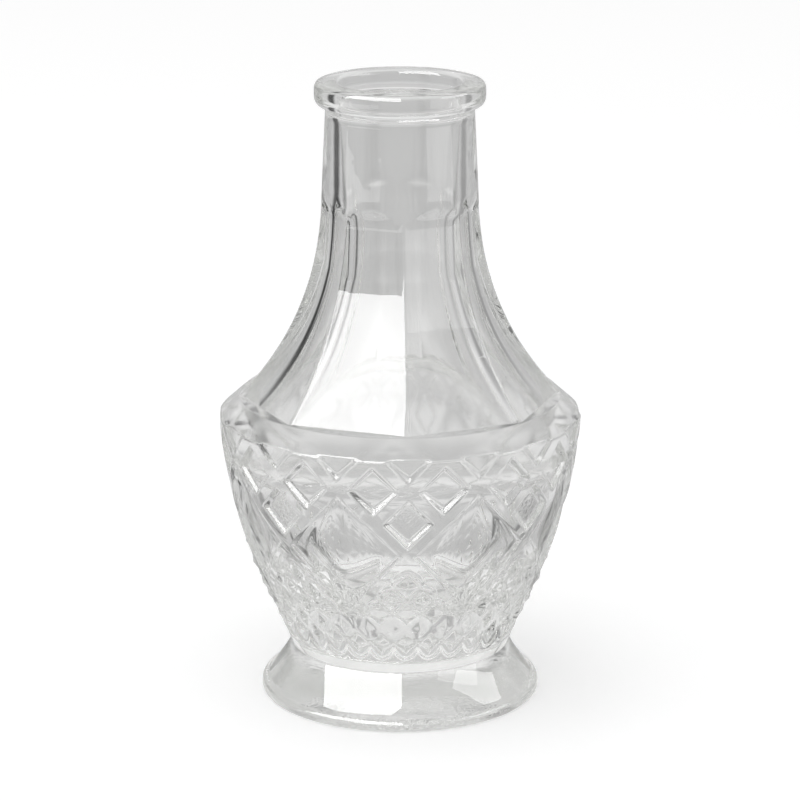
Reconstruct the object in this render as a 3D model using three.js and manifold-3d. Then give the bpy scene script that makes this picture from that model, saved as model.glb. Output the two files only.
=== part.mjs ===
// Bottle vase of clear pressed glass, moulded in one piece: a flared foot, a bowl with a lattice of
// diamonds over a field of studs, a shoulder of flat panels, a round neck and a rolled lip.
// Millimetres, +Z up, origin in the middle of the foot. A ridge between two panels faces -Y.
import * as THREE from 'three';
import { mergeGeometries, mergeVertices } from 'three/addons/utils/BufferGeometryUtils.js';
import Module from 'manifold-3d';

// Heights above the table
const totalHeight = 130;
const footSlopeHeight = 6.5;
const waistHeight = 10.4;
const bowlFootHeight = 13.7;
const beltHeight = 60.4;
const panelFootHeight = 64.3;
const shoulderBendHeight = 81.5;
const panelHeadHeight = 103.6;
const scallopRise = 2.6;
const lipHeight = 5;

// Radii of the outside
const footRadius = 29.4;
const footSlopeRadius = 25.2;
const waistRadius = 22.9;
const bowlFootRadius = 23.4;
const bowlArcRadius = 106;
const beltRadius = 37.7;
const panelFootRadius = 33.3;
const shoulderBendRadius = 16.6;
const neckFootRadius = 16.1;
const neckRadius = 15.2;
const lipRadius = 17.5;

// Roundings
const footRound = 0.9;
const beltRound = 0.8;
const lipTopRound = 1.6;
const lipUnderRound = 2.1;
const mouthRound = 1.1;

// Hollow inside: it ends in a round bottom above the waist, and the foot is solid glass
const bowlWall = 3.3;
const shoulderWall = 4.6;
const boreRadius = 12;
const mouthRadius = 12.6;
const beltTurn = 7;
const bottomHeadHeight = 42;
const bottomBendHeight = 28;
const bottomBendRadius = 17;
const floorHeight = 14.5;

// Underside: a flat bearing ring round a shallow push-up
const pushUp = 1.2;
const bearingWidth = 3.6;

// Flat panels of the shoulder. The lattice has four columns under each of them.
const panelCount = 8;

// Relief of the bowl: depths in mm, fills as shares of a diamond's cell, the thumb cut's half sizes
// in columns and rows, and the belt's gap and the border's width in rows. The thumb cut's outline
// is |across|^p + |along|^p = 1, where p is 1 for a diamond and 2 for an ellipse.
const recessFill = 0.75;
const recessFloorFill = 0.6;
const recessDepth = 0.7;
const beltGap = 0.06;
const largeFill = 0.97;
const largeFloorFill = 0.91;
const largeDepth = 0.35;
const thumbHalfWidth = 1.26;
const thumbHalfHeight = 1.62;
const thumbLift = 0.05;
const thumbHeadPower = 1.25;
const thumbFootPower = 1.5;
const thumbDepth = 1;
const thumbShelf = 0.7;
const grooveDepth = 0.8;
const studRise = 0.3;
const borderWidth = 0.35;

// Fineness of the round surfaces and of the outline's curves
const hollowSteps = 40;
const edgeSteps = 3;
const waistSteps = 5;
const bowlSteps = 3;
const bottomSteps = 7;
const beltTurnSteps = 4;
const shoulderSteps = 8;

const turn = Math.PI * 2;
const panelAngle = turn / panelCount;
const columnAngle = panelAngle / 4;
const flatness = Math.cos(panelAngle / 2);
const clearance = 4;

// The lattice's rows run down from the belt, which cuts off the top of row 0 at headRow. The points
// of the lowest studs end just above footRow.
const headRow = 0.22;
const footRow = 6.6;
const latticeHead = beltHeight - beltRound;
const rowHeight = (latticeHead - bowlFootHeight) / (footRow - headRow);

// The layout's counts change only as a set. Large diamonds have their middles on largeRow. The field
// of studs starts a row lower and widens by half a column on each side at every level, so that the
// edges of all tiles have two steps to a column.
const largeRow = 3;
const studRow = largeRow + 1;
const studLevels = 4;
const lastStudRow = studRow + studLevels / 2;
const stepsPerColumn = 2;
const ringSteps = panelCount * 4 * stepsPerColumn;

const wasm = await Module();
wasm.setup();

const point = (r, z) => new THREE.Vector2(r, z);

// A mesh with its shared vertices joined and its empty triangles left out
function joined(geometry) {
  const merged = mergeVertices(geometry, 1e-4);
  const corners = merged.index.array;
  const kept = [];
  for (let i = 0; i < corners.length; i += 3) {
    const [a, b, c] = corners.slice(i, i + 3);
    if (a !== b && b !== c && c !== a) kept.push(a, b, c);
  }
  merged.setIndex(kept);
  return merged;
}

// A closed mesh as a solid for cutting
function solid(geometry) {
  const mesh = joined(geometry);
  return new wasm.Manifold(new wasm.Mesh({
    numProp: 3,
    vertProperties: new Float32Array(mesh.attributes.position.array),
    triVerts: new Uint32Array(mesh.index.array),
  }));
}

// Only the places of a mesh's corners
function bare(geometry) {
  const plain = geometry.index ? geometry.toNonIndexed() : geometry;
  plain.deleteAttribute('normal');
  plain.deleteAttribute('uv');
  return plain;
}

// A surface turned about Z from an outline that runs upwards
function turned(outline, steps) {
  const lathe = new THREE.LatheGeometry(outline, steps);
  lathe.rotateX(Math.PI / 2);
  return bare(lathe);
}

function rounded(from, corner, to, steps) {
  return new THREE.QuadraticBezierCurve(from, corner, to).getPoints(steps);
}

// The corner where two straight lines meet, each given by a point and a direction
function meeting(a, alongA, b, alongB) {
  const reach = (b.x - a.x) * alongB.y - (b.y - a.y) * alongB.x;
  return a.clone().addScaledVector(alongA, reach / alongA.cross(alongB));
}

// The wall of the bowl is one shallow arc from its foot to the belt
function arcCentre(low, high, radius) {
  const chord = high.clone().sub(low);
  const inward = point(-chord.y, chord.x).normalize();
  const reach = Math.sqrt(radius ** 2 - chord.lengthSq() / 4);
  return low.clone().add(high).multiplyScalar(0.5).addScaledVector(inward, reach);
}

const bowlFoot = point(bowlFootRadius, bowlFootHeight);
const beltCorner = point(beltRadius, beltHeight);
const bowlCentre = arcCentre(bowlFoot, beltCorner, bowlArcRadius);
const bowlRadiusAt = (z) => bowlCentre.x + Math.sqrt(bowlArcRadius ** 2 - (z - bowlCentre.y) ** 2);
const bowlOutward = (z) => point(bowlRadiusAt(z), z).sub(bowlCentre).normalize();

// The shoulder sweeps in from the ledge over the belt to the neck, along a panel's ridge
const shoulderCurve = new THREE.QuadraticBezierCurve(
  point(panelFootRadius, panelFootHeight),
  point(shoulderBendRadius, shoulderBendHeight),
  point(neckFootRadius, panelHeadHeight + scallopRise),
);

// The foot flares from the waist down to a small upright edge
const footSlope = point(footSlopeRadius, footSlopeHeight);
const footEdge = point(footRadius, footRound);
const footCurve = new THREE.QuadraticBezierCurve(footEdge, point(footRadius, 2 * footRound), footSlope);
const waistEnds = footSlope.clone().add(bowlFoot).multiplyScalar(0.5);
const waistCorner = point(waistRadius, waistHeight).multiplyScalar(2).sub(waistEnds);
const waistCurve = new THREE.QuadraticBezierCurve(footSlope, waistCorner, bowlFoot);

// A place on the bowl: columns count round from the front ridge, rows count down from the belt,
// and height is in mm above the smooth surface
function placeOnBowl([column, row, height]) {
  const angle = column * columnAngle;
  const z = latticeHead - (row - headRow) * rowHeight;
  const out = bowlOutward(z);
  const r = bowlRadiusAt(z) + out.x * height;
  return [r * Math.sin(angle), -r * Math.cos(angle), z + out.y * height];
}

// The relief is a quilt of tiles. A ring holds places in order round a tile, seen from outside
// clockwise, and the quilt gets the strip between two rings, or the fan inside one.
class Quilt {
  constructor() {
    this.places = [];
  }

  triangle(a, b, c) {
    this.places.push(...placeOnBowl(a), ...placeOnBowl(c), ...placeOnBowl(b));
  }

  quad(a, b, c, d) {
    this.triangle(a, b, c);
    this.triangle(a, c, d);
  }

  strip(outer, inner) {
    outer.forEach((a, i) => {
      const next = (i + 1) % outer.length;
      this.quad(a, outer[next], inner[next], inner[i]);
    });
  }

  fan(ring, middle) {
    ring.forEach((a, i) => this.triangle(a, ring[(i + 1) % ring.length], middle));
  }

  tile(rings, middle) {
    rings.slice(1).forEach((inner, i) => this.strip(rings[i], inner));
    this.fan(rings.at(-1), middle);
  }

  geometry() {
    const quilt = new THREE.BufferGeometry();
    quilt.setAttribute('position', new THREE.Float32BufferAttribute(this.places, 3));
    return quilt;
  }
}

// A ring of places along straight sides between corners, with a count of steps for each side
function sides(corners, steps, height) {
  return corners.flatMap(([column, row], i) => {
    const [nextColumn, nextRow] = corners[(i + 1) % corners.length];
    return Array.from({ length: steps[i] }, (_, k) => {
      const share = k / steps[i];
      return [column + (nextColumn - column) * share, row + (nextRow - row) * share, height];
    });
  });
}

// The corners of a diamond: top, right, bottom, left
function diamond(column, row, size) {
  return [[column, row - size], [column + size, row], [column, row + size], [column - size, row]];
}

// A small diamond pressed into its cell. In the top row the belt trims the cell's upper corner.
function addSmallDiamond(quilt, column, row) {
  const cell = diamond(column, row, 1);
  cell[0][1] = Math.max(cell[0][1], headRow);
  const steps = Array(4).fill(stepsPerColumn);
  quilt.tile([
    sides(cell, steps, 0),
    sides(diamond(column, row, recessFill), steps, 0),
    sides(diamond(column, row, recessFloorFill), steps, -recessDepth),
  ], [column, row, -recessDepth]);
}

// The lower half of a small diamond, hanging from the belt
function addHalfDiamond(quilt, column) {
  const half = (fill) => {
    const top = headRow + beltGap + recessFill - fill;
    return [[column - fill + top, top], [column + fill - top, top], [column, fill]];
  };
  const cell = [[column - 1, headRow], [column + 1, headRow], [column, 1]];
  const steps = [2 * stepsPerColumn, stepsPerColumn, stepsPerColumn];
  quilt.tile([
    sides(cell, steps, 0),
    sides(half(recessFill), steps, 0),
    sides(half(recessFloorFill), steps, -recessDepth),
  ], [column, (headRow + recessFloorFill) / 2, -recessDepth]);
}

// A ring round the thumb cut at a share of its size: a pointed oval, blunter below its middle.
// The cut's depth falls off with the square of the share.
function thumbRing(column, row, share) {
  const count = 8 * stepsPerColumn;
  return Array.from({ length: count }, (_, k) => {
    const across = Math.sin(k * turn / count);
    const along = -Math.cos(k * turn / count);
    const power = along < 0 ? thumbHeadPower : thumbFootPower;
    const sum = Math.abs(across / thumbHalfWidth) ** power + Math.abs(along / thumbHalfHeight) ** power;
    const reach = share * sum ** (-1 / power);
    const height = -largeDepth - thumbDepth * (1 - share ** 2);
    return [column + reach * across, row - thumbLift + reach * along, height];
  });
}

// A large diamond with a stepped border round a hollow like a pressed thumb mark
function addLargeDiamond(quilt, column, row) {
  const steps = Array(4).fill(2 * stepsPerColumn);
  quilt.tile([
    sides(diamond(column, row, 2), steps, 0),
    sides(diamond(column, row, 2 * largeFill), steps, 0),
    sides(diamond(column, row, 2 * largeFloorFill), steps, -largeDepth),
    thumbRing(column, row, 1),
    thumbRing(column, row, thumbShelf),
  ], [column, row - thumbLift, -largeDepth - thumbDepth]);
}

// A stud is a four-sided point between crossed V grooves
function addStud(quilt, column, row) {
  const valleys = sides(diamond(column, row, 0.5), [1, 1, 1, 1], -grooveDepth);
  quilt.fan(valleys, [column, row, studRise]);
}

// The studs under a ridge. The outermost one of the last level is shared by two neighbouring fields,
// and only the field on its left adds it.
function addStudField(quilt, ridge) {
  for (let level = 0; level <= studLevels; level += 1) {
    const reach = level / 2;
    for (let place = -reach; place <= reach; place += 1) {
      if (place > -2) addStud(quilt, ridge + place, studRow + reach);
    }
  }
}

// The plain band between a large diamond and the studs, down to the border groove on its lower side
function addBand(quilt, column, side) {
  const across = [[0, 0], [1 - borderWidth, 0], [1, -grooveDepth]];
  for (let n = 0; n < 4; n += 1) {
    for (let k = 0; k < 2; k += 1) {
      const corner = (along, [share, height]) => (
        [column + side * along / 2, largeRow + (along + share) / 2, height]
      );
      const upper = [corner(n, across[k]), corner(n + 1, across[k])];
      const lower = [corner(n + 1, across[k + 1]), corner(n, across[k + 1])];
      const ring = [...upper, ...lower];
      quilt.quad(...(side > 0 ? ring : ring.reverse()));
    }
  }
}

// The plain edge under the lowest row of studs
function addFringe(quilt, column) {
  const left = [column, lastStudRow + 0.5, -grooveDepth];
  const valley = [column + 0.5, lastStudRow, -grooveDepth];
  const right = [column + 1, lastStudRow + 0.5, -grooveDepth];
  const foot = (share) => [column + share, footRow, 0];
  quilt.triangle(left, valley, foot(0.5));
  quilt.triangle(valley, right, foot(0.5));
  quilt.triangle(left, foot(0.5), foot(0));
  quilt.triangle(right, foot(1), foot(0.5));
}

function makeRelief() {
  const quilt = new Quilt();
  for (let panel = 0; panel < panelCount; panel += 1) {
    const ridge = 4 * panel;
    for (const column of [ridge, ridge + 2]) addHalfDiamond(quilt, column);
    for (const column of [ridge + 1, ridge + 3]) addSmallDiamond(quilt, column, 1);
    addSmallDiamond(quilt, ridge, 2);
    addLargeDiamond(quilt, ridge + 2, largeRow);
    for (const side of [1, -1]) addBand(quilt, ridge, side);
    addStudField(quilt, ridge);
    for (const column of [0, 1, 2, 3]) addFringe(quilt, ridge + column);
  }
  return quilt.geometry();
}

function makeFootSurface() {
  const bearingInner = footRadius - footRound - bearingWidth;
  return turned([
    ...rounded(point(0, pushUp), point(bearingInner / 2, pushUp), point(bearingInner, 0), edgeSteps),
    ...rounded(point(footRadius - footRound, 0), point(footRadius, 0), footEdge, edgeSteps),
    ...footCurve.getPoints(edgeSteps).slice(1),
    ...waistCurve.getPoints(waistSteps).slice(1),
  ], ringSteps);
}

function makeUpperSurface() {
  const ledge = shoulderCurve.getPoint(0);
  const upSlope = ledge.clone().sub(beltCorner).normalize();
  const lipFoot = totalHeight - lipHeight;
  return turned([
    ...rounded(
      point(bowlRadiusAt(latticeHead), latticeHead),
      beltCorner,
      beltCorner.clone().addScaledVector(upSlope, beltRound),
      edgeSteps,
    ),
    ...shoulderCurve.getPoints(shoulderSteps),
    point(neckRadius, lipFoot),
    ...rounded(
      point(lipRadius - lipUnderRound, lipFoot),
      point(lipRadius, lipFoot),
      point(lipRadius, lipFoot + lipUnderRound),
      edgeSteps,
    ),
    ...rounded(
      point(lipRadius, totalHeight - lipTopRound),
      point(lipRadius, totalHeight),
      point(lipRadius - lipTopRound, totalHeight),
      edgeSteps,
    ),
    point(0, totalHeight),
  ], ringSteps);
}

// The space that one flat panel takes off the turned shoulder. Its head slopes up and out, so
// that it ends in a low arch where it meets the round neck.
function makePanelCutter() {
  const outside = beltRadius + clearance;
  const ridge = shoulderCurve.getPoints(shoulderSteps).filter((p) => p.y < panelHeadHeight);
  const face = ridge.map((p) => point(p.x * flatness, p.y));
  const head = point(neckFootRadius * flatness, panelHeadHeight);
  const slant = point(neckFootRadius - head.x, scallopRise).multiplyScalar(3);
  const profile = new THREE.Shape([
    point(outside, panelFootHeight),
    ...face,
    head,
    head.clone().add(slant),
    point(outside, head.y + slant.y),
  ]);
  const slab = new THREE.ExtrudeGeometry(profile, { depth: 2 * outside, bevelEnabled: false });
  slab.translate(0, 0, -outside);
  slab.rotateX(Math.PI / 2);
  return solid(bare(slab));
}

// Points of a curve moved inwards, after its radii are squeezed
function insetPoints(curve, steps, inset, squeeze) {
  return Array.from({ length: steps + 1 }, (_, i) => {
    const at = curve.getPoint(i / steps);
    const along = curve.getTangent(i / steps);
    return point(at.x * squeeze - along.y * inset, at.y + along.x * inset);
  });
}

// The inside of the bowl's wall, measured from the middle of its relief
function bowlInsideAt(z) {
  return point(bowlRadiusAt(z), z).addScaledVector(bowlOutward(z), -bowlWall - recessDepth / 2);
}

function makeHollow() {
  const bowlHeadHeight = beltHeight - bowlWall - beltTurn;
  const bowl = Array.from({ length: bowlSteps + 1 }, (_, i) => (
    bowlInsideAt(THREE.MathUtils.lerp(bottomHeadHeight, bowlHeadHeight, i / bowlSteps))
  ));
  const bowlUp = bowl.at(-1).clone().sub(bowl.at(-2));
  const bowlDown = bowl[0].clone().sub(bowl[1]);
  const bottomBend = bowl[0].clone().addScaledVector(bowlDown, (bottomBendHeight - bowl[0].y) / bowlDown.y);
  const bottom = new THREE.CubicBezierCurve(
    point(0, floorHeight),
    point(bottomBendRadius, floorHeight),
    bottomBend,
    bowl[0],
  );
  const shoulder = insetPoints(shoulderCurve, shoulderSteps, shoulderWall, flatness)
    .filter((p) => p.x > boreRadius && p.y < panelHeadHeight);
  const belt = meeting(bowl.at(-1), bowlUp, shoulder[0], shoulder[1].clone().sub(shoulder[0]));
  return solid(turned([
    ...bottom.getPoints(bottomSteps),
    ...bowl.slice(1),
    ...rounded(bowl.at(-1), belt, shoulder[0], beltTurnSteps).slice(1, -1),
    ...shoulder,
    point(boreRadius, panelHeadHeight),
    point(mouthRadius, totalHeight - lipHeight),
    ...rounded(
      point(mouthRadius, totalHeight - mouthRound),
      point(mouthRadius, totalHeight),
      point(mouthRadius + mouthRound, totalHeight),
      edgeSteps,
    ),
    point(mouthRadius + mouthRound, totalHeight + clearance),
    point(0, totalHeight + clearance),
  ], hollowSteps));
}

function makeGlass() {
  const outside = solid(mergeGeometries([makeFootSurface(), makeRelief(), makeUpperSurface()]));
  const cutters = [makeHollow()];
  const panel = makePanelCutter();
  for (let n = 0; n < panelCount; n += 1) cutters.push(panel.rotate([0, 0, (n + 0.5) * 360 / panelCount]));
  return outside.subtract(wasm.Manifold.union(cutters));
}

function geometryOf(made) {
  const mesh = made.getMesh();
  const geometry = new THREE.BufferGeometry();
  const places = new Float32Array(mesh.vertProperties);
  geometry.setAttribute('position', new THREE.BufferAttribute(places, mesh.numProp));
  geometry.setIndex(new THREE.BufferAttribute(new Uint32Array(mesh.triVerts), 1));
  geometry.computeVertexNormals();
  return geometry;
}

const clearGlass = new THREE.MeshStandardMaterial({
  color: 0xe4e9e6,
  roughness: 0.04,
  metalness: 0,
  transparent: true,
  opacity: 0.4,
});

const glassBody = new THREE.Mesh(geometryOf(makeGlass()), clearGlass);
glassBody.name = 'glass_body';

const vase = new THREE.Group();
vase.add(glassBody);

export default vase;
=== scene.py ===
import math

import bpy
import numpy as np
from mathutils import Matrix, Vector


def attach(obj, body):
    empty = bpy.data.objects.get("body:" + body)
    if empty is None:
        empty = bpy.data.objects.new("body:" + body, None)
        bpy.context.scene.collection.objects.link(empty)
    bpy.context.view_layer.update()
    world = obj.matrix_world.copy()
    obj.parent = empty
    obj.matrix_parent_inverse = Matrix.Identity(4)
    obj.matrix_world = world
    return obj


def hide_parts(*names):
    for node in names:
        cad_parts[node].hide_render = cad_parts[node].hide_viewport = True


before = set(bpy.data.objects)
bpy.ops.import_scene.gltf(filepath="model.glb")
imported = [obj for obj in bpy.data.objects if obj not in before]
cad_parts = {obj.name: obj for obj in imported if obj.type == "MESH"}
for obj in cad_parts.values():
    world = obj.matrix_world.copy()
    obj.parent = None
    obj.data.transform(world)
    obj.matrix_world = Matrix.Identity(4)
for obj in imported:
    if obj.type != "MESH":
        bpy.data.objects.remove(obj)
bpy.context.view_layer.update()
print("frame loaded:", sorted(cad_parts))

mm = 0.001
fullTurn = 2 * math.pi
bounces = 24  # light crosses many walls in thick glass
scene = bpy.context.scene
scene.view_settings.view_transform = "Standard"
for kind in ("max", "glossy", "transmission"):
    setattr(scene.cycles, kind + "_bounces", bounces)


# The camera

cameraView = {
    "distance": 676.7,  # from the aim to the lens, mm
    "aimHeight": 62.64,
    "pitch": 15.862,  # degrees down
    "azimuth": -2.7,  # degrees from the front, where a ridge of the shoulder faces
    "lens": 146.2,
    "sensor": 36.0,
    "clip": (0.01, 20),  # m
}


def outwards(azimuth, elevation):
    # The direction away from the axis: azimuth from the front (-Y) towards +X and elevation, in degrees.
    a, e = math.radians(azimuth), math.radians(elevation)
    return np.array([math.sin(a) * math.cos(e), -math.cos(a) * math.cos(e), math.sin(e)])


def aimed(thing, place, target):
    # Puts a camera or lamp at a place, with its -Z towards the target.
    thing.location = place
    thing.rotation_mode = "QUATERNION"
    thing.rotation_quaternion = (thing.location - Vector(target)).to_track_quat("Z", "Y")
    scene.collection.objects.link(thing)
    return thing


def makeCamera():
    data = bpy.data.cameras.new("camera")
    data.lens = cameraView["lens"]
    data.sensor_width = cameraView["sensor"]
    data.clip_start, data.clip_end = cameraView["clip"]
    aim = np.array([0, 0, cameraView["aimHeight"]]) * mm
    reach = cameraView["distance"] * mm * outwards(cameraView["azimuth"], cameraView["pitch"])
    scene.camera = aimed(bpy.data.objects.new("camera", data), aim + reach, aim)


makeCamera()
print("camera made")


# Curves of the profile, as arrays of (radius, height)

def point(r, z):
    # A place in the profile's plane: radius and height
    return np.array([r, z], float)


def steps(count):
    # count + 1 even shares from 0 to 1
    return np.linspace(0, 1, count + 1)


def parabola(a, corner, b, t):
    # A point that leaves a towards the corner and comes into b from it: (1-t)^2 a + 2t(1-t) corner + t^2 b.
    t = np.asarray(t, float)[:, None]
    return (1 - t) ** 2 * a + 2 * t * (1 - t) * corner + t ** 2 * b


def rounded(corner, before, after, count):
    # A parabola that rounds a corner, from corner + before to corner + after.
    return parabola(corner + before, corner, corner + after, steps(count))


def cubic(a, afterA, beforeB, b, t):
    # (1-t)^3 a + 3t(1-t)^2 afterA + 3t^2(1-t) beforeB + t^3 b
    return (1 - t) ** 3 * a + 3 * t * (1 - t) ** 2 * afterA + 3 * t ** 2 * (1 - t) * beforeB + t ** 3 * b


def straight(a, b, t):
    # a + t (b - a)
    return a + np.asarray(t, float)[:, None] * (b - a)


def smooth(x):
    # 0 below 0, 1 above 1, and 3x^2 - 2x^3 between them
    x = np.clip(x, 0, 1)
    return x * x * (3 - 2 * x)


def ramp(x, low, high):
    # 0 at low and 1 at high, straight between them
    return np.clip((x - low) / (high - low), 0, 1)


def cross(one, other):
    # The cross product of two directions in the profile's plane
    return one[0] * other[1] - one[1] * other[0]


def meeting(a, alongA, b, alongB):
    # The corner of two straight lines, each given by a point and a direction.
    return a + alongA * cross(b - a, alongB) / cross(alongA, alongB)


def arcCentre(low, high, radius):
    # The centre of the arc of this radius through two points, on the axis side of their chord.
    chord = high - low
    inward = point(-chord[1], chord[0]) / math.hypot(*chord)
    return (low + high) / 2 + inward * math.sqrt(radius ** 2 - chord @ chord / 4)


# The outside of the vase

outline = {
    "height": 130.0,
    "pushUp": 1.2, "pushUpBend": 0.7,  # the hollow under the foot, and the share of its width where it bends
    "bearingWidth": 3.6,
    "footRadius": 29.4, "footRound": 1.1, "footEdge": point(28.4, 2.7),
    "rimCorner": 2.25, "rimStep": point(-0.25, 0.04),  # the rim's turn, and from its top to the slope's foot
    "footSlopes": (0.87, 0.38),  # how far the foot comes in for each mm up, at its edge and at the waist
    "waist": point(22.95, 10.7), "waistBulge": 0.6,  # how full the bowl is just over the crease of the waist
    "waistBow": 0.15,  # how far the bowl bends out between the crease and its relief
    "bowlFoot": point(23.4, 13.7), "belt": point(37.7, 60.4), "bowlArc": 106.0, "beltRound": 0.4,
    "panelFoot": point(33.3, 64.3), "shoulderBend": point(16.6, 81.5), "neckFoot": point(16.1, 106.2),
    "panelHead": 103.6, "scallopRise": 2.6, "panels": 8,
    "neckRadius": 15.2, "lipRadius": 17.5, "lipHeight": 5.0, "lipTopRound": 1.6, "lipUnderRound": 2.1,
    "mouth": 12.6, "mouthRound": 1.1,
}

columns = {
    "outside": 256,  # round the foot, shoulder and neck
    "inside": 128,  # round the hollow and the underside
}

rings = {  # steps along each stretch of the profile
    "pushUp": 10, "bearing": 4, "footRound": 5, "rim": 6, "slope": 16, "belt": 4, "shoulder": 34, "neck": 8,
    "lip": 6, "mouth": 5, "bore": 6, "innerShoulder": 30, "innerTurn": 10, "innerBowl": 6, "bottom": 28,
}

crispRings = {  # shares of a stretch at which rings stand close to a sharp edge, so that it looks sharp
    "slope": 0.985,
    "lowBowl": (0.05, 0.25, 0.5, 0.75, 0.95),
    "ledge": (0.05, 0.1, 0.15, 0.2, 0.3, 0.65, 0.95, 1),
    "shoulder": 0.005,
}

panelAngle = fullTurn / outline["panels"]
flatness = math.cos(panelAngle / 2)  # how far out a panel's middle is, as a share of its ridges
bowlCentre = arcCentre(outline["bowlFoot"], outline["belt"], outline["bowlArc"])


def bowlRadius(z):
    # centre r + sqrt(arc^2 - (z - centre z)^2)
    return bowlCentre[0] + np.sqrt(outline["bowlArc"] ** 2 - (z - bowlCentre[1]) ** 2)


def bowlOutward(z):
    # The unit direction from the arc's centre to the bowl at height z.
    return np.stack([bowlRadius(z) - bowlCentre[0], z - bowlCentre[1]], -1) / outline["bowlArc"]


def shoulderCurve(t):
    # The ridge between two panels, on a parabola from the ledge over the belt to the neck.
    return parabola(outline["panelFoot"], outline["shoulderBend"], outline["neckFoot"], t)


def panelMiddle(count):
    # The middle of a panel: the ridge's curve with its radius times the cosine of half a panel.
    return shoulderCurve(steps(count)) * [flatness, 1]


def angles(count):
    # Even angles all round, from the front
    return np.arange(count) * fullTurn / count


def roundAxis(r, a, z):
    # x = r sin a, y = -r cos a, z
    return np.stack(np.broadcast_arrays(r * np.sin(a), -r * np.cos(a), z), -1)


def carried(profile, count):
    # Each profile point carried round the axis, as an array of rings x columns x 3.
    return roundAxis(profile[:, 0][:, None], angles(count)[None, :], profile[:, 1][:, None])


def underside():
    # A dome on a parabola from the axis down to the bearing ring, and the flat ring.
    ringEdge = outline["footRadius"] - outline["footRound"]
    domeEdge = ringEdge - outline["bearingWidth"]
    top = point(0, outline["pushUp"])
    bend = point(domeEdge * outline["pushUpBend"], outline["pushUp"])
    dome = parabola(top, bend, point(domeEdge, 0), steps(rings["pushUp"])[1:])
    bearing = straight(point(domeEdge, 0), point(ringEdge, 0), steps(rings["bearing"])[1:-1])
    return carried(np.concatenate([dome, bearing]), columns["inside"])


def footZone():
    # The foot's lower edge and its rim on parabolas, a small step, the slope on a parabola up to the crease
    # of the waist, and the bowl's full lower end.
    footRadius, footRound = outline["footRadius"], outline["footRound"]
    lowEdge = rounded(point(footRadius, 0), [-footRound, 0], [0, footRound], rings["footRound"])
    edge, waist = outline["footEdge"], outline["waist"]
    rim = parabola(lowEdge[-1], point(footRadius, outline["rimCorner"]), edge, steps(rings["rim"])[1:])
    low, high = outline["footSlopes"]
    slopeFoot = edge + outline["rimStep"]
    corner = meeting(slopeFoot, point(-low, 1), waist, point(-high, 1))
    slope = parabola(slopeFoot, corner, waist, np.insert(steps(rings["slope"]), -1, crispRings["slope"]))
    bowlStart = outline["bowlFoot"] + [outline["waistBulge"], 0]
    bow = (waist + bowlStart) / 2 + [outline["waistBow"], 0]
    lowBowl = parabola(waist, bow, bowlStart, crispRings["lowBowl"])
    return carried(np.concatenate([lowEdge, rim, slope, lowBowl]), columns["outside"])


# The bowl's relief: columns are counted round from a ridge and rows down from the belt

lattice = {
    "panelColumns": 4,
    "headDrop": 0.8,  # how far its first ring is under the belt's edge, mm
    "headRow": 0.22, "footRow": 6.6,  # where the belt and the waist end it, in rows
    "fineness": 16,  # grid steps in a column and in a row
    "leastStep": 0.3,  # of a grid step, between an end of the lattice and the next ring
    "recessFill": 0.75, "recessFloor": 0.5625, "recessDepth": 1.0,  # spans at the top and foot of its walls
    "beltCut": 0.5,  # how deep the half diamonds are where they run out through the belt, mm
    "cutRow": 1.2,  # the row over which they get shallower towards the belt
    "sideDiamond": (1, 1), "ridgeDiamond": (0, 2),  # middles of the small ones: columns from a ridge, and row
    "largeMiddle": (2, 3), "largeHalf": 2, "largeFill": 0.90625, "largeFloor": 0.84375, "largeDepth": 0.35,
    "thumbRow": 2.95, "thumbWide": 1.22, "thumbHigh": 1.6, "thumbDepth": 1.1, "thumbEdge": 4,
    "thumbPoint": (1.25, 1.5),  # exponents of its outline, upper and lower: 1 is a diamond, 2 an ellipse
    "studHead": 4, "studLevels": 5,  # the row of the first stud, and the levels under a ridge
    "studHalf": 0.375, "studRise": 0.75,
    "fieldDepth": 0.35, "fieldReach": (0.56, 0.44),  # how far the sunk field reaches from a stud
    "fieldHead": (3.4, 3.5),  # between these studs and field come in, in rows less half the side
    "bulgeRow": 5.9, "bulgeRows": 0.6,  # where the bowl's full lower end starts, and the rows that it takes
}

columnAngle = panelAngle / lattice["panelColumns"]
latticeHead = outline["belt"][1] - lattice["headDrop"]
rowHeight = (latticeHead - outline["bowlFoot"][1]) / (lattice["footRow"] - lattice["headRow"])


def rowAt(z):
    # The row of the lattice at a height
    return lattice["headRow"] + (latticeHead - z) / rowHeight


def fromRidge(column):
    # Columns from the nearest ridge of the shoulder: |(column + 2) mod 4 - 2|.
    half = lattice["panelColumns"] / 2
    return np.abs((column + half) % lattice["panelColumns"] - half)


def diamondSpan(side, row, centreSide, centreRow):
    # |side - centre side| + |row - centre row|: 0 in the middle of a diamond, and even all along its outline.
    return np.abs(side - centreSide) + np.abs(row - centreRow)


def studSpans(side, row):
    # The diamond span and the straight distance to the nearest stud. The studs under a ridge form a triangle:
    # one at its head, and in each level half a row further down one more, always a column apart.
    span, distance = np.full(side.shape, np.inf), np.full(side.shape, np.inf)
    for level in range(lattice["studLevels"]):
        down = row - lattice["studHead"] - level / 2
        for place in np.arange(-level, level + 1, 2) / 2:
            for across in (side - place, side - (lattice["panelColumns"] - place)):
                span = np.minimum(span, np.abs(across) + np.abs(down))
                distance = np.minimum(distance, np.hypot(across, down))
    return span, distance


def thumbSpan(side, row):
    # (|across|^p + |along|^p)^(1/p): 0 in the middle of the thumb cut and 1 all along its outline.
    across = np.abs(side - lattice["largeMiddle"][0]) / lattice["thumbWide"]
    along = np.abs(row - lattice["thumbRow"]) / lattice["thumbHigh"]
    p = np.where(row < lattice["thumbRow"], *lattice["thumbPoint"])
    return (across ** p + along ** p) ** (1 / p)


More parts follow.
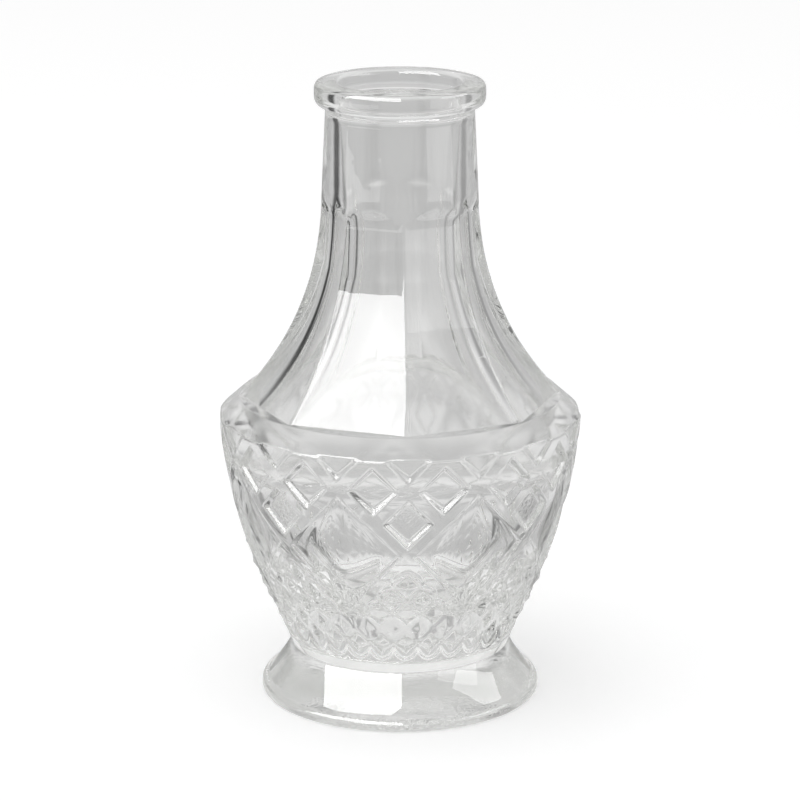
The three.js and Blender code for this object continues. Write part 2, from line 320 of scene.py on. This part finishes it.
def halfDiamond(side, row):
    # The depth of the cuts that run out through the belt, shallower at the belt. They stand at every even
    # column, and 1 - |side - 1| is the distance to the nearest of these.
    deep, shallow = lattice["recessDepth"], lattice["beltCut"]
    depth = deep + (shallow - deep) * smooth(lattice["cutRow"] - row)
    span = 1 - np.abs(side - 1) + np.abs(row)
    return depth * ramp(span, lattice["recessFill"], lattice["recessFloor"])


def reliefHeight(column, row):
    # The height over the smooth bowl, in mm: 0 on the plain bands, down slanting walls in the diamonds, and
    # up again in the studs. Each form adds its depth or rise times a ramp of the span from its middle.
    side = fromRidge(column)
    height = -halfDiamond(side, row)
    for middle in (lattice["sideDiamond"], lattice["ridgeDiamond"]):
        small = diamondSpan(side, row, *middle)
        height -= lattice["recessDepth"] * ramp(small, lattice["recessFill"], lattice["recessFloor"])
    large = diamondSpan(side, row, *lattice["largeMiddle"]) / lattice["largeHalf"]
    height -= lattice["largeDepth"] * ramp(large, lattice["largeFill"], lattice["largeFloor"])
    height -= lattice["thumbDepth"] * np.clip(1 - thumbSpan(side, row) ** lattice["thumbEdge"], 0, 1)
    span, distance = studSpans(side, row)
    field = ramp(distance, *lattice["fieldReach"])
    stud = lattice["studRise"] * ramp(span, lattice["studHalf"], 0)
    below = ramp(row - side / 2, *lattice["fieldHead"])
    height += below * (stud - lattice["fieldDepth"] * field)
    return height + outline["waistBulge"] * smooth((row - lattice["bulgeRow"]) / lattice["bulgeRows"])


def bowlZone():
    # Rows follow the lattice, so that the slanting sides of every diamond run along grid diagonals. Each
    # place is the bowl's arc plus the relief along the arc's outward direction.
    n = lattice["fineness"]
    head, foot, gap = lattice["headRow"], lattice["footRow"], lattice["leastStep"]
    rows = np.arange(math.ceil(head * n + gap), math.floor(foot * n - gap) + 1) / n
    rows = np.concatenate([[head], rows, [foot]])[::-1]
    count = outline["panels"] * lattice["panelColumns"] * n
    column, row = np.meshgrid(np.arange(count) / n, rows)
    height = reliefHeight(column, row)
    z = latticeHead - (row - head) * rowHeight
    out = bowlOutward(z)
    radius = bowlRadius(z) + out[..., 0] * height
    return roundAxis(radius, column * columnAngle, z + out[..., 1] * height), height


# From the belt to the mouth

def beltRings():
    # The belt's edge on a parabola between the bowl's arc and the ledge, and the ledge. The radius is no more
    # than the bowl's less the depth of the half diamonds.
    belt, ledge = outline["belt"], outline["panelFoot"]
    upSlope = (ledge - belt) / np.linalg.norm(ledge - belt)
    low = belt[1] - outline["beltRound"]
    end = belt + upSlope * outline["beltRound"]
    turn = parabola(point(bowlRadius(low), low), belt, end, steps(rings["belt"]))
    made = carried(np.concatenate([turn, straight(end, ledge, crispRings["ledge"])]), columns["outside"])
    side = fromRidge(angles(columns["outside"]) / columnAngle)
    radius, z = np.hypot(made[..., 0], made[..., 1]), made[..., 2]
    cut = halfDiamond(side[None, :], rowAt(z))
    made[..., :2] *= np.minimum(1, (bowlRadius(z) - cut) / radius)[..., None]
    return made


def shoulderRings():
    # The radius is the smaller of the round one and flat / cos(angle from the panel's middle). Over the
    # panels' heads flat grows with height until the neck is round, which leaves the scallops.
    curve = shoulderCurve(np.insert(steps(rings["shoulder"]), 1, crispRings["shoulder"]))
    r, z = curve[:, 0][:, None], curve[:, 1][:, None]
    a = angles(columns["outside"])[None, :]
    fromMiddle = (a % panelAngle) - panelAngle / 2
    neck = outline["neckFoot"][0]
    growth = (neck * (1 - flatness)) / outline["scallopRise"]
    head = neck * flatness + (z - outline["panelHead"]) * growth
    flat = np.where(z > outline["panelHead"], head, r * flatness)
    return roundAxis(np.minimum(r, flat / np.cos(fromMiddle)), a, z)


def lipRings():
    # The neck's straight side, the lip's rounded lower and upper edge, and its round turn into the mouth.
    high = outline["height"]
    lipFoot = high - outline["lipHeight"]
    lip, under, top = outline["lipRadius"], outline["lipUnderRound"], outline["lipTopRound"]
    mouth, turn = outline["mouth"], outline["mouthRound"]
    neck = straight(outline["neckFoot"], point(outline["neckRadius"], lipFoot), steps(rings["neck"])[1:])
    lower = rounded(point(lip, lipFoot), [-under, 0], [0, under], rings["lip"])
    upper = rounded(point(lip, high), [0, -top], [-top, 0], rings["lip"])
    inner = rounded(point(mouth, high), [turn, 0], [0, -turn], rings["mouth"])
    return carried(np.concatenate([neck, lower, upper, inner]), columns["outside"])


def upperZone():
    # The belt, the shoulder, and the neck and lip, one on top of the other
    return np.concatenate([beltRings(), shoulderRings(), lipRings()])


# The inside

hollow = {
    "bore": 11.8,
    "bowlWall": 3.65, "shoulderWall": 4.6,
    "beltTurn": 7.0,  # how far under the belt the inside starts to turn in, mm
    "bottomHead": 42.0, "bottomBend": point(17.0, 28.0), "floorHeight": 14.5,
}


def hollowZone():
    # The inside from the mouth down: a straight bore, the shoulder's panels moved in by its wall, a parabola
    # behind the belt, the bowl moved in by its wall, and a round bottom on a cubic curve.
    mouthEnd = point(outline["mouth"], outline["height"] - outline["lipHeight"])
    bore = straight(mouthEnd, point(hollow["bore"], outline["panelHead"]), steps(rings["bore"]))
    shoulder = panelMiddle(rings["innerShoulder"])[::-1]
    along = np.gradient(shoulder, axis=0)
    along /= np.linalg.norm(along, axis=1)[:, None]
    shoulder = shoulder + hollow["shoulderWall"] * np.stack([along[:, 1], -along[:, 0]], -1)
    shoulder = shoulder[(shoulder[:, 0] > hollow["bore"]) & (shoulder[:, 1] < outline["panelHead"])]
    bowlHead = outline["belt"][1] - hollow["bowlWall"] - hollow["beltTurn"]
    z = np.linspace(bowlHead, hollow["bottomHead"], rings["innerBowl"] + 1)
    bowl = np.stack([bowlRadius(z), z], -1) - hollow["bowlWall"] * bowlOutward(z)
    corner = meeting(shoulder[-1], shoulder[-1] - shoulder[-2], bowl[0], bowl[1] - bowl[0])
    turn = parabola(shoulder[-1], corner, bowl[0], steps(rings["innerTurn"])[1:-1])
    down = bowl[-1] - bowl[-2]
    bend = bowl[-1] + down * (hollow["bottomBend"][1] - bowl[-1][1]) / down[1]
    flat, middle = point(hollow["bottomBend"][0], hollow["floorHeight"]), point(0, hollow["floorHeight"])
    bottom = cubic(bowl[-1], bend, flat, middle, steps(rings["bottom"])[1:-1, None])
    return carried(np.concatenate([bore, shoulder, turn, bowl, bottom]), columns["inside"])


# The closed skin

def sewn(first, second):
    # Triangles between two rings of vertex numbers. Where the finer has a whole number of times the coarser's
    # vertices, each span of the coarser gets a fan.
    coarse, fine = (first, second) if len(first) < len(second) else (second, first)
    share = len(fine) // len(coarse)
    made = []
    following = np.roll(coarse, -1)
    for k in range(share):
        here, ahead = fine[k::share], np.roll(fine, -1)[k::share]
        made.append(np.stack([here, ahead, coarse if 2 * k < share else following], -1))
    half = fine[(share + 1) // 2::share] if share > 1 else np.roll(fine, -1)
    made.append(np.stack([coarse, half, following], -1))
    made = np.concatenate(made)
    return made if fine is first else made[:, ::-1]


def gridTriangles(numbers, height=None):
    # Two triangles for each square. The square is split along the diagonal whose ends are nearer in height.
    slack = 1e-9  # mm
    a, b = numbers[:-1], np.roll(numbers[:-1], -1, 1)
    d, c = numbers[1:], np.roll(numbers[1:], -1, 1)
    rising = np.ones(a.shape, bool)
    if height is not None:
        low, high = height[:-1], height[1:]
        rising = np.abs(low - np.roll(high, -1, 1)) <= np.abs(np.roll(low, -1, 1) - high) + slack
    firstHalf = np.stack([a, b, np.where(rising, c, d)], -1)
    secondHalf = np.stack([np.where(rising, a, b), c, d], -1)
    return np.concatenate([firstHalf, secondHalf]).reshape(-1, 3)


def closedSkin(zones, heights, firstPole, lastPole):
    # The zones follow each other along the profile, each with its own number of columns, between two poles.
    places, triangles = [np.array([firstPole])], []
    start, last = 1, None
    for zone, height in zip(zones, heights):
        rows, count = zone.shape[:2]
        numbers = start + np.arange(rows * count).reshape(rows, count)
        ring = numbers[0]
        if last is None:
            triangles.append(np.stack([np.zeros(count, int), np.roll(ring, -1), ring], -1))
        else:
            triangles.append(sewn(last, ring))
        triangles.append(gridTriangles(numbers, height))
        places.append(zone.reshape(-1, 3))
        start, last = start + rows * count, numbers[-1]
    places.append(np.array([lastPole]))
    triangles.append(np.stack([last, np.roll(last, -1), np.full(len(last), start)], -1))
    return np.concatenate(places) * mm, np.concatenate(triangles)


def meshObject(name, places, triangles):
    # An object at the origin, from places in metres and triangles of their numbers
    mesh = bpy.data.meshes.new(name)
    mesh.vertices.add(len(places))
    mesh.vertices.foreach_set("co", places.astype(np.float32).ravel())
    mesh.loops.add(triangles.size)
    mesh.loops.foreach_set("vertex_index", triangles.astype(np.int32).ravel())
    mesh.polygons.add(len(triangles))
    mesh.polygons.foreach_set("loop_start", np.arange(0, triangles.size, 3, dtype=np.int32))
    mesh.polygons.foreach_set("use_smooth", np.ones(len(triangles), bool))
    mesh.update(calc_edges=True)
    mesh.validate()
    made = bpy.data.objects.new(name, mesh)
    scene.collection.objects.link(made)
    return made


# Where the glass is rough, as shares that its material reads from the mesh

rough = {
    "underTop": 0.1,  # how far over the push-up a place still counts as underside, mm
    "underEdge": 0.2,  # how far in from the foot's edge the underside's stipple ends, mm
    "diamondEdge": 0.02,  # how far inside a diamond's floor the stipple ends, in columns
    "skin": 1.5,  # how far under the bowl's arc a place still counts as outside, mm
    "inner": 2.5,  # how far under the bowl's arc and the panels a place counts as inside, mm
    "arcTop": 60,  # the height over which the bowl's radius stays as it is there, mm
    "hazeHead": (78, 70), "hazeFoot": (50, 56),  # heights between which the inside's haze comes in, mm
}


def arcLimit(z):
    # The radius of the bowl's arc at a height, and over its top as it is there
    return bowlRadius(np.clip(z, 0, rough["arcTop"]))


def panelLimit(z):
    # The radius of the middle of a panel at height z, and without end under the ledge.
    fineSteps = 60
    curve = panelMiddle(fineSteps)
    return np.interp(z, curve[:, 1], curve[:, 0], left=np.inf)


def stippleShare(places):
    # 1 on the underside and on the floors of the diamonds at the ridges, and 0 elsewhere.
    x, y, z = places.T
    radius = np.hypot(x, y)
    low = z < outline["pushUp"] + rough["underTop"]
    under = low & (radius < outline["footRadius"] - rough["underEdge"])
    side = fromRidge(np.arctan2(x, -y) / columnAngle)
    floor = lattice["recessFloor"] - rough["diamondEdge"]
    diamond = diamondSpan(side, rowAt(z), *lattice["ridgeDiamond"]) < floor
    outside = radius > arcLimit(z) - rough["skin"]
    return np.where(under | (diamond & outside), 1.0, 0.0)


def hazeShare(places):
    # 1 on the inside behind the ledge and the feet of the panels, and 0 elsewhere.
    x, y, z = places.T
    inside = np.hypot(x, y) < np.minimum(arcLimit(z), panelLimit(z)) - rough["inner"]
    comesIn, goesOut = ramp(z, *rough["hazeFoot"]), ramp(z, *rough["hazeHead"])
    return np.where(inside, smooth(comesIn) * smooth(goesOut), 0.0)


bowl, bowlHeights = bowlZone()
zones = [underside(), footZone(), bowl, upperZone(), hollowZone()]
poles = [0, 0, outline["pushUp"]], [0, 0, hollow["floorHeight"]]
places, triangles = closedSkin(zones, [None, None, bowlHeights, None, None], *poles)
vase = meshObject("pressed_glass", places, triangles)
for name, share in ("stipple", stippleShare), ("haze", hazeShare):
    attribute = vase.data.attributes.new(name, "FLOAT", "POINT")
    attribute.data.foreach_set("value", share(places / mm).astype(np.float32))
print("glass made:", len(places), "places,", len(triangles), "triangles")


# Materials

class Value:
    # A socket that takes part in sums: each operator adds a Math node.
    def __init__(self, maker, socket):
        self.maker, self.socket = maker, socket

    def join(self, operation, other, flip=False):
        pair = (other, self) if flip else (self, other)
        return self.maker.node("ShaderNodeMath", {"operation": operation}, pair)

    def __add__(self, other):
        return self.join("ADD", other)

    def __radd__(self, other):
        return self.join("ADD", other, True)

    def __sub__(self, other):
        return self.join("SUBTRACT", other)

    def __rsub__(self, other):
        return self.join("SUBTRACT", other, True)

    def __mul__(self, other):
        return self.join("MULTIPLY", other)

    def __rmul__(self, other):
        return self.join("MULTIPLY", other, True)

    def __lt__(self, other):
        return self.join("LESS_THAN", other)


class Maker:
    # Adds nodes to one tree.
    def __init__(self, owner):
        owner.use_nodes = True
        self.tree = owner.node_tree
        self.tree.nodes.clear()

    def node(self, kind, settings=None, inputs=(), output=0):
        made = self.tree.nodes.new(kind)
        for name, value in (settings or {}).items():
            setattr(made, name, value)
        pairs = inputs.items() if isinstance(inputs, dict) else enumerate(inputs)
        for key, value in pairs:
            if isinstance(value, Value):
                self.tree.links.new(value.socket, made.inputs[key])
            else:
                made.inputs[key].default_value = value
        return Value(self, made.outputs[output])

    def ramp(self, value, ends):
        # 0 at the first end and 1 at the second, with a smooth step between them
        return self.node("ShaderNodeMapRange", {"interpolation_type": "SMOOTHSTEP"}, {
            "Value": value, "From Min": ends[0], "From Max": ends[1]})

    def finish(self, kind, **sockets):
        out = self.tree.nodes.new(kind)
        for name, value in sockets.items():
            self.tree.links.new(value.socket, out.inputs[name])


def mixed(first, second, share):
    # first where the share is 0 and second where it is 1
    return first + share * (second - first)


glassLook = {
    "colour": (0.99, 0.99, 0.987, 1),
    "absorption": (0.875, 0.895, 0.84, 1),
    "density": 4.0,  # per metre
    "ior": 1.5,
    "waves": {"size": 7.0, "height": 0.035, "detail": 2.0, "roughness": 0.4},  # mm, of the moulded surface
    "stipple": {"size": 0.8, "height": 0.06, "detail": 1.0, "roughness": 0.5},
    "dents": {"size": 5.0, "height": 0.12, "detail": 2.0, "roughness": 0.5},  # of the underside
    "dentTop": 3.0,  # height up to which the underside's dents reach, mm
    "stippleRoughness": 0.05,
    "hazeRoughness": 0.15,  # behind the ledge
}


def noise(m, place, bumps):
    # Soft noise of one size over the piece's own coordinates
    return m.node("ShaderNodeTexNoise", {}, {
        "Vector": place, "Scale": 1 / mm / bumps["size"],
        "Detail": bumps["detail"], "Roughness": bumps["roughness"]})


def makeGlass():
    # Glass that absorbs a little light, with waves all over, and stipple and haze where the mesh says
    material = bpy.data.materials.new("clearPressedGlass")
    m = Maker(material)
    place = m.node("ShaderNodeTexCoord", output="Object")
    waves = noise(m, place, glassLook["waves"])
    dots = noise(m, place, glassLook["stipple"])
    dents = noise(m, place, glassLook["dents"])
    stipple = m.node("ShaderNodeAttribute", {"attribute_name": "stipple"}, output="Fac")
    haze = m.node("ShaderNodeAttribute", {"attribute_name": "haze"}, output="Fac")
    under = stipple * (m.node("ShaderNodeSeparateXYZ", {}, (place,), "Z") < glassLook["dentTop"] * mm)
    height = waves * glassLook["waves"]["height"] + stipple * dots * glassLook["stipple"]["height"]
    height = height + under * dents * glassLook["dents"]["height"]
    bump = m.node("ShaderNodeBump", {}, {"Strength": 1.0, "Distance": mm, "Height": height})
    shader = m.node("ShaderNodeBsdfPrincipled", {}, {
        "Base Color": glassLook["colour"], "IOR": glassLook["ior"],
        "Roughness": stipple * glassLook["stippleRoughness"] + haze * glassLook["hazeRoughness"],
        "Transmission Weight": 1.0, "Normal": bump})
    body = m.node("ShaderNodeVolumeAbsorption", {}, {
        "Color": glassLook["absorption"], "Density": glassLook["density"]})
    m.finish("ShaderNodeOutputMaterial", Surface=shader, Volume=body)
    return material


vase.data.materials.append(makeGlass())
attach(vase, "root")
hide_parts("glass_body")
print("glass finished")


# The floor and the white tent round it

studio = {
    "white": (1, 1, 1, 1),
    "paper": 0.85,
    "paperReach": 3.0,  # half its width, m
    "paperDrop": 0.05,  # a hair under the foot, so that no two faces share a plane, mm
    "cameraGlow": 0.34,  # what the camera sees on top of the light on the floor
    "tentFoot": 0.6, "tent": 0.88, "tentTop": 0.6,
    "tentRise": (0.12, 0.3),  # sines of the elevations between which the tent gets brighter
    "tentTurn": (0.3, 0.75),  # sines of the elevations between which the tent gets dimmer
    "underGlow": 0.38,  # the table glows under the foot
    "underEdge": (0.03, 0.06),  # m from the axis over which that glow ends
    "tableGlow": 0.06,
    "tableEdge": (0.16, 0.3),  # m from the axis over which the table ends
    "dimRing": 0.22,  # painted shade: how much darker the paper is beyond the table
    "dimEnd": (0.6, 1.2),  # m from the axis over which that ends
    "shadow": 0.28,  # how much darker the paper is in a ring round the foot
    "shadowEnds": (0.035, 0.055, 0.09, 0.14),  # m from the axis: it starts, is full, starts to end and ends
    "flagStep": 90.0,  # degrees from one dark flag to the next
    "flag": 0.05,  # the flags at the tent's corners on the left
    "nearFlag": 0.2,  # those on the right, near the vase: painted shade on the paper
    "farFlag": 0.55,  # those on the right, from some way out
    "flagHalf": (4.0, 14.0),  # degrees from a flag's middle to its soft edge
    "flagFar": (0.12, 0.22),  # m from the axis over which those on the right get lighter
    "flagTop": (0.2, 0.4),  # sines of the elevations between which the flags end
}


def tentShade(m, place, far=1):
    # White all round, but for a dark flag at each corner, midway between the front, back and sides. The flags
    # on the right are lighter, and the more so where far is 1.
    # On the floor this darkens the paper's colour: painted shade of the flags.
    x = m.node("ShaderNodeSeparateXYZ", {}, (place,))
    y = m.node("ShaderNodeSeparateXYZ", {}, (place,), "Y")
    azimuth = m.node("ShaderNodeMath", {"operation": "ARCTAN2"}, (x, y)) * (180 / math.pi)
    azimuth = azimuth + cameraView["azimuth"]
    turned = m.node("ShaderNodeMath", {"operation": "FLOORED_MODULO"}, (azimuth, studio["flagStep"]))
    off = m.node("ShaderNodeMath", {"operation": "ABSOLUTE"}, (turned - studio["flagStep"] / 2,))
    right = mixed(studio["nearFlag"], studio["farFlag"], far)
    return mixed(mixed(right, studio["flag"], x < 0), 1, m.ramp(off, studio["flagHalf"]))


def makeFloor():
    # Paper, evenly pale to the camera. The glass also sees painted flag shade, a painted shadow and a glow.
    reach, depth = studio["paperReach"], -studio["paperDrop"] * mm
    corners = np.array([[-1, -1, 0], [1, -1, 0], [1, 1, 0], [-1, 1, 0]]) * reach + [0, 0, depth]
    floor = meshObject("floor", corners, np.array([[0, 1, 2], [0, 2, 3]]))
    material = bpy.data.materials.new("palePaper")
    m = Maker(material)
    fromCamera = m.node("ShaderNodeLightPath", output="Is Camera Ray")
    place = m.node("ShaderNodeTexCoord", output="Object")
    away = m.node("ShaderNodeVectorMath", {"operation": "LENGTH"}, (place,), "Value")
    beyond = m.ramp(away, studio["tableEdge"])
    # Painted shade: the paper is darker beyond the table, as if less light fell there.
    dim = beyond * (1 - m.ramp(away, studio["dimEnd"])) * studio["dimRing"]
    start, full, fade, end = studio["shadowEnds"]
    shadow = m.ramp(away, (start, full)) * (1 - m.ramp(away, (fade, end))) * studio["shadow"]
    # The paper's colour carries painted shade of the flags and a painted shadow round the foot.
    shade = tentShade(m, place, m.ramp(away, studio["flagFar"])) * (1 - dim) * (1 - shadow)
    level = mixed(shade, 1, fromCamera) * studio["paper"]
    colour = m.node("ShaderNodeCombineColor", {}, (level, level, level))
    matt = m.node("ShaderNodeBsdfDiffuse", {}, {"Color": colour})
    under = mixed(studio["underGlow"], studio["tableGlow"], m.ramp(away, studio["underEdge"]))
    glow = mixed((1 - beyond) * under, studio["cameraGlow"], fromCamera)
    light = m.node("ShaderNodeEmission", {}, {"Color": studio["white"], "Strength": glow})
    m.finish("ShaderNodeOutputMaterial", Surface=m.node("ShaderNodeAddShader", {}, (matt, light)))
    floor.data.materials.append(material)


def makeWorld():
    # White to the camera, and a pale tent with flags to the glass
    world = bpy.data.worlds.new("studio")
    scene.world = world
    m = Maker(world)
    fromCamera = m.node("ShaderNodeLightPath", output="Is Camera Ray")
    way = m.node("ShaderNodeTexCoord", output="Generated")
    z = m.node("ShaderNodeSeparateXYZ", {}, (way,), "Z")
    flags = mixed(tentShade(m, way), 1, m.ramp(z, studio["flagTop"]))
    levels = mixed(studio["tentFoot"], studio["tent"], m.ramp(z, studio["tentRise"]))
    tent = flags * mixed(levels, studio["tentTop"], m.ramp(z, studio["tentTurn"]))
    glow = mixed(tent, 1, fromCamera)
    light = m.node("ShaderNodeBackground", {}, {"Color": studio["white"], "Strength": glow})
    m.finish("ShaderNodeOutputWorld", Surface=light)


makeFloor()
makeWorld()
print("floor and tent made")


# The lamps: directions are in degrees and sizes in metres, and each faces the axis at its lift.
# The matt one lights only matt surfaces, and only reflections see the others.

lamps = {
    "softBox": {"azimuth": -43.2, "elevation": 0, "distance": 1.2, "lift": 1.32, "wide": 2.2, "high": 1.87,
                "radiance": 9.5, "seenBy": "glossy"},
    "fill": {"azimuth": 59, "elevation": 0, "distance": 0.45, "lift": 0.145, "wide": 0.36, "high": 0.28,
             "radiance": 1.7, "seenBy": "glossy"},
    "low": {"azimuth": -60, "elevation": 0, "distance": 0.45, "lift": 0.03, "wide": 0.5, "high": 0.055,
            "radiance": 2.0, "seenBy": "glossy"},
    "strip": {"azimuth": 80, "elevation": 30, "distance": 1.2, "lift": 0, "wide": 0.9, "high": 0.42,
              "radiance": 3.6, "seenBy": "glossy"},
    "overhead": {"azimuth": -43.7, "elevation": 75, "distance": 1.5, "lift": 0, "wide": 1.2, "high": 1.2,
                 "radiance": 1.15, "seenBy": "matt"},
}


def makeLamp(name, look):
    # A flat lamp, whose power is its radiance times pi times its area
    data = bpy.data.lights.new(name, "AREA")
    data.shape = "RECTANGLE"
    data.size, data.size_y = look["wide"], look["high"]
    data.energy = look["radiance"] * math.pi * look["wide"] * look["high"]
    lamp = bpy.data.objects.new(name, data)
    lamp.visible_diffuse = look["seenBy"] == "matt"
    lamp.visible_glossy = look["seenBy"] == "glossy"
    lamp.visible_transmission = False
    lamp.visible_camera = False
    facing = np.array([0, 0, look["lift"]])
    aimed(lamp, look["distance"] * outwards(look["azimuth"], look["elevation"]) + facing, facing)


for name, look in lamps.items():
    makeLamp(name, look)
print("lamps made")
